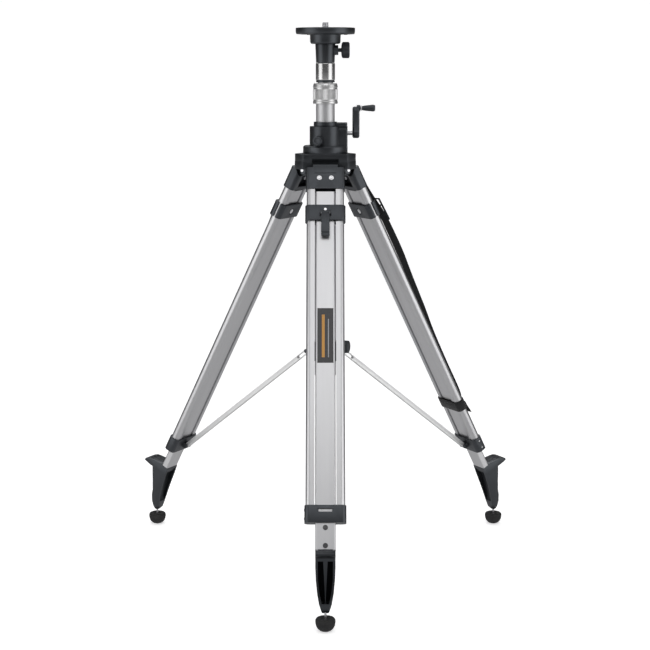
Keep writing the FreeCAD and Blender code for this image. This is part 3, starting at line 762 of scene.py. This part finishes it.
softened("shoulder_top_plate", "shoulder", CASTING, 3.0)
softened("shoulder_hinge_plate", "shoulder", CASTING, 2.2)
softened("gear_housing", "shoulder", CASTING, 2.0)
softened("gear_lid", "shoulder", CASTING, 1.0)
softened("crank_arm", "crank", NYLON, 1.6)
softened("chuck_body", "column", TURNED, 0.5)
softened("spreader_hub", "hub", NYLON, 0.7)


def paint(node, material):
    """A CAD node shown as it is, with its finish."""
    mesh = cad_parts[node].data
    mesh.materials.clear()
    mesh.materials.append(material)


for node in ("outer_column", "inner_column", "guide_tube"):
    paint(node, UPRIGHT)
for node in ("column_rack", "crank_shaft", "hinge_pins"):
    paint(node, STEEL)


# ---------------------------------------------------------------- legs
def leg_label():
    """Blank film label on the front leg's sliding section."""
    half, low, high = LABEL_HALF_WIDTH, -LABEL_END, -LABEL_TOP
    bm = swept_outline([(-half, low), (half, low), (half, high), (-half, high)], 0.35)
    bmesh.ops.recalc_face_normals(bm, faces=bm.faces)
    layer = bm.loops.layers.uv.new("UVMap")
    for face in bm.faces:
        for loop in face.loops:
            across, along = half - loop.vert.co.x, loop.vert.co.y - low
            loop[layer].uv = (across / (2 * half), along / (high - low))
    # the outline's Y lies along the leg and its Z stands out of the outer face
    lay = Matrix(((1, 0, 0, 0), (0, 0, 1, SLIDE_FACE), (0, 1, 0, 0), (0, 0, 0, 1)))
    finished(to_mesh(bm, "label", leg_place("front") @ lay), "blank_label", LABEL, "front_slide")


def screw_pair(leg):
    """The two bright socket screws in the leg head, with their nuts inside."""
    nut = [(0, -21.7), (5.6, -21.7), (6.5, -20.8), (6.5, -16.9), (4.4, -16.8)]
    head = [(4.4, 0), (6.2, 0), (6.4, 1.2), (5.6, 1.9), (3.4, 1.9), (3.2, 0.8), (0, 0.8)]
    heads = []
    for across in (-15.0, 15.0):
        mesh = raw(lathe(eased(nut + head, 0.4), 48))
        mesh.transform(Matrix.Translation((across, 29.7, -31)) @ Matrix.Rotation(rad(-90), 4, "X"))
        heads.append(mesh)
    pair = placed(merged(*heads), leg_place(leg))
    finished(pair, leg + "_socket_screws", STEEL, leg + "_leg", leg + "_head_screws")


def darken_shoe_bolts(leg):
    """The bolts and spike low on the slide are blackened; the rest of its hardware is bright."""
    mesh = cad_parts[leg + "_slide_steel"].data
    mesh.materials.append(DARK_STEEL)
    for face in mesh.polygons:
        if BOLT_ZONE[0] < face.center.z < BOLT_ZONE[1]:
            face.material_index = 1


def paint_pocket_shade(leg, mesh):
    """Painted shade: the floor and side walls of the shoe's long outer pocket get a near-black, rough
    material that stands in for the shade in the recess; the rib's front keeps the smooth coat.
    """
    mesh.materials.append(POCKET_PAINTED_SHADE)
    turn = Matrix.Rotation(rad(-LEGS[leg]), 3, "Z")
    for face in mesh.polygons:
        out, across, up = turn @ face.center / mm
        sideways = abs((turn @ face.normal).y) > 0.55
        # the pocket widens upward along two straight slopes, then keeps its width
        half = min(8.5 + (up - 66) * 0.208, 13.5 + (up - 90) * 0.117, 17.4)
        in_pocket = 66.5 < up < 165.5 and abs(across) < half + 0.4 and out > 540.4
        on_floor = out < 542.2
        if in_pocket and (on_floor or sideways):
            face.material_index = 1


def bracket_rivets(leg):
    """Two domed rivets on one side of the lower bracket."""
    domes = []
    for down in (864.0, 885.0):
        dome = raw(lathe(eased([(0, -0.4), (3.3, -0.4), (3.3, 0.3), (2.0, 1.0), (0, 1.15)], 0.4), 40))
        dome.transform(Matrix.Translation((49.0, 16.4, -down)) @ Matrix.Rotation(rad(90), 4, "Y"))
        domes.append(dome)
    finished(placed(merged(*domes), leg_place(leg)), leg + "_bracket_rivets", STEEL, leg + "_leg")


def step_ribs(leg):
    """Ribs across the foot's step."""
    mesh = grown(RIB_ROW, None, CASTING, Count=6, Pitch=6.4, Radius=1.1, Length=34.0)
    slope = Matrix.Translation((0, 523, 185.2)) @ Matrix.Rotation(rad(14.5), 4, "X")
    finished(placed(mesh, turned_to(LEGS[leg]) @ slope), leg + "_step_ribs", CASTING, leg + "_slide")


def rubber_pad(leg):
    """Bowl-shaped rubber foot with a dished top and the spike's hole."""
    bowl = [(0, 0), (8, 0), (14.2, 2.4), (19.2, 7.4), (22.2, 14), (23.4, 21.5), (23.2, 26.6), (21.0, 30.2)]
    dish = [(16.5, 31), (11.5, 30.4), (8.2, 27), (4.4, 26.4), (2.85, 26.4), (2.85, 11.6), (0, 11.6)]
    place = turned_to(LEGS[leg]) @ Matrix.Translation((0, FOOT_CIRCLE, 0))
    pad = placed(raw(lathe(eased(bowl + dish, 1.6), 80)), place)
    finished(pad, leg + "_pad.moulded", RUBBER, leg + "_pad", leg + "_foot_pad")


for leg in LEGS:
    softened(leg + "_leg_head", leg + "_leg", NYLON, 1.4)
    softened(leg + "_leg_bracket", leg + "_leg", NYLON, 0.9)
    softened(leg + "_clamp_outer", leg + "_slide", NYLON, 1.0)
    softened(leg + "_clamp_inner", leg + "_slide", NYLON, 0.9)
    softened(leg + "_clamp_lever", leg + "_lever", NYLON, 1.2)
    # the shoe pocket's floor and walls get painted shade
    paint_pocket_shade(leg, softened(leg + "_foot_shoe", leg + "_slide", CASTING, 1.5).data)
    softened(leg + "_strut", leg + "_strut", STRUT_METAL, 0.4, 2)
    paint(leg + "_leg_rails", ALUMINIUM[leg])
    paint(leg + "_slide_section", ALUMINIUM[leg])
    paint(leg + "_slide_steel", STEEL)
    darken_shoe_bolts(leg)
    bracket_rivets(leg)
    screw_pair(leg)
    step_ribs(leg)
    rubber_pad(leg)
leg_label()


# ---------------------------------------------------------------- carrying strap
def ribbon(stations, thick, place, name):
    """Webbing through (down, left, right, inner, outer) stations, rounded selvedges, its UV map in metres."""
    bm = bmesh.new()
    layer = bm.loops.layers.uv.new("UVMap")
    rings, run = [], 0.0
    for index, (down, left, right, inner, outer) in enumerate(stations):
        near, far = Vector((left, inner)), Vector((right, outer))
        along, centre = (far - near).normalized(), (near + far) / 2
        up = Vector((-along.y, along.x))
        half = (far - near).length / 2
        if index:
            run += (Vector(stations[index]) - Vector(stations[index - 1])).length
        edge = half - 0.8
        section = [(-half, 0), (-edge, -thick / 2), (edge, -thick / 2), (half, 0), (edge, thick / 2),
                   (-edge, thick / 2)]
        spots = [centre + along * across + up * lift for across, lift in section]
        rings.append(([bm.verts.new((spot.x, spot.y, -down)) for spot in spots], section, run))
    for (low, section, run0), (high, _, run1) in zip(rings, rings[1:]):
        for i in range(6):
            j = (i + 1) % 6
            face = bm.faces.new([low[i], low[j], high[j], high[i]])
            spread = (section[i][0], section[j][0], section[j][0], section[i][0])
            for loop, u, v in zip(face.loops, spread, (run0, run0, run1, run1)):
                loop[layer].uv = (u * mm, v * mm)
    bm.faces.new(list(reversed(rings[0][0])))
    bm.faces.new(rings[-1][0])
    return to_mesh(bm, name, place)


def smooth_path(points, steps=8):
    """Catmull-Rom curve through the points."""
    result = []
    rows = [Vector(p) for p in [points[0]] + points + [points[-1]]]
    for a, b, c, d in zip(rows, rows[1:], rows[2:], rows[3:]):
        for step in range(steps):
            t = step / steps
            square, cube = 2 * a - 5 * b + 4 * c - d, 3 * b - a - 3 * c + d
            result.append(tuple(0.5 * (2 * b + (c - a) * t + square * t * t + cube * t ** 3)))
    return result + [tuple(points[-1])]


def carrying_strap():
    """The strap's long webbing and the short loose end under the band."""
    place = leg_place("right")
    # the webbing folds narrower as it is gathered into the band
    run = smooth_path([(40, 17, 34, 31.0, 31.0), (62, 17, 35, 32.0, 32.8), (97, 18, 38, 34.8, 36.2),
                       (138, 22, 46, 35.4, 40.0), (180, 23.6, 47.6, 35.6, 43.0), (262, 23, 47.6, 35.6, 43.8),
                       (342, 22, 47.6, 35.5, 38.8), (435, 19, 44.6, 35.4, 36.0), (510, 16, 36.0, 35.3, 35.3),
                       (600, 16, 32.4, 35.1, 35.1), (700, 16, 32.4, 35.0, 35.0), (730, 16, 33.0, 31.2, 31.2),
                       (755, 16, 34.4, 30.9, 30.9)])
    loose = smooth_path([(742, 18, 40, 31.9, 31.9), (758, 18, 41.5, 32.1, 32.4), (768, 18, 42.5, 32.4, 33.6),
                         (779, 18, 43.5, 32.6, 34.6)])
    web = merged(ribbon(run, 1.6, place, "strap"), ribbon(loose, 1.4, place, "end"))
    finished(web, "strap_webbing", WEBBING, "right_leg", "carry_strap", crease=60)


def strap_band():
    """The band goes once round the leg; its UV map is in metres."""
    bm = bmesh.new()
    layer = bm.loops.layers.uv.new("UVMap")
    corners = []
    for cx, cy, start in ((36.5, 17.9, 0), (-36.5, 17.9, 90), (-36.5, 12.1, 180), (36.5, 12.1, 270)):
        for step in range(7):
            a = rad(start + step * 15)
            x, y = cx + BAND_CORNER * math.cos(a), cy + BAND_CORNER * math.sin(a)
            corners.append((x, y, math.cos(a), math.sin(a)))
    top, end = BAND_TOP + 1, BAND_END - 1
    section = ((BAND_TOP, 0.0), (top, 1.1), (end, 1.1), (BAND_END, 0.0), (end, -0.4), (top, -0.4))
    rings = []
    for x, y, nx, ny in corners:
        rings.append([bm.verts.new((x + nx * lift, y + ny * lift, -down)) for down, lift in section])
    run = 0.0
    for index in range(len(rings)):
        low, high = rings[index], rings[(index + 1) % len(rings)]
        here, after = corners[index], corners[(index + 1) % len(rings)]
        step = math.hypot(after[0] - here[0], after[1] - here[1])
        for i in range(6):
            j = (i + 1) % 6
            face = bm.faces.new([low[i], high[i], high[j], low[j]])
            for loop, v in zip(face.loops, (run, run + step, run + step, run)):
                loop[layer].uv = (loop.vert.co.z * mm, v * mm)
        run += step
    finished(to_mesh(bm, "band", leg_place("right")), "strap_band", WEBBING, "right_leg", crease=60)


def ladder_buckle():
    """Plastic adjuster: two side rails and four bars, with the webbing under the bars."""
    bm = bmesh.new()
    for side in (-1, 1):
        near, far = sorted((side * 12.4, side * 15.0))
        block(bm, near, far, -2.2, 3.4, -33, 33)
    for level, depth in ((30.8, 3.2), (11, 2.8), (-10, 2.8), (-30.8, 3.2)):
        block(bm, -13.0, 13.0, 0.4, depth, level - 2.0, level + 2.0)
    tilt = Matrix.Rotation(rad(7), 4, "Z") @ Matrix.Rotation(rad(3), 4, "X")
    mesh = placed(raw(bm), leg_place("right") @ Matrix.Translation((34.6, 40.4, -138)) @ tilt)
    finished(rounded_over(mesh, 1.2, 4), "strap_adjuster", BUCKLE, "right_leg", "strap_buckle")


carrying_strap()
strap_band()
ladder_buckle()
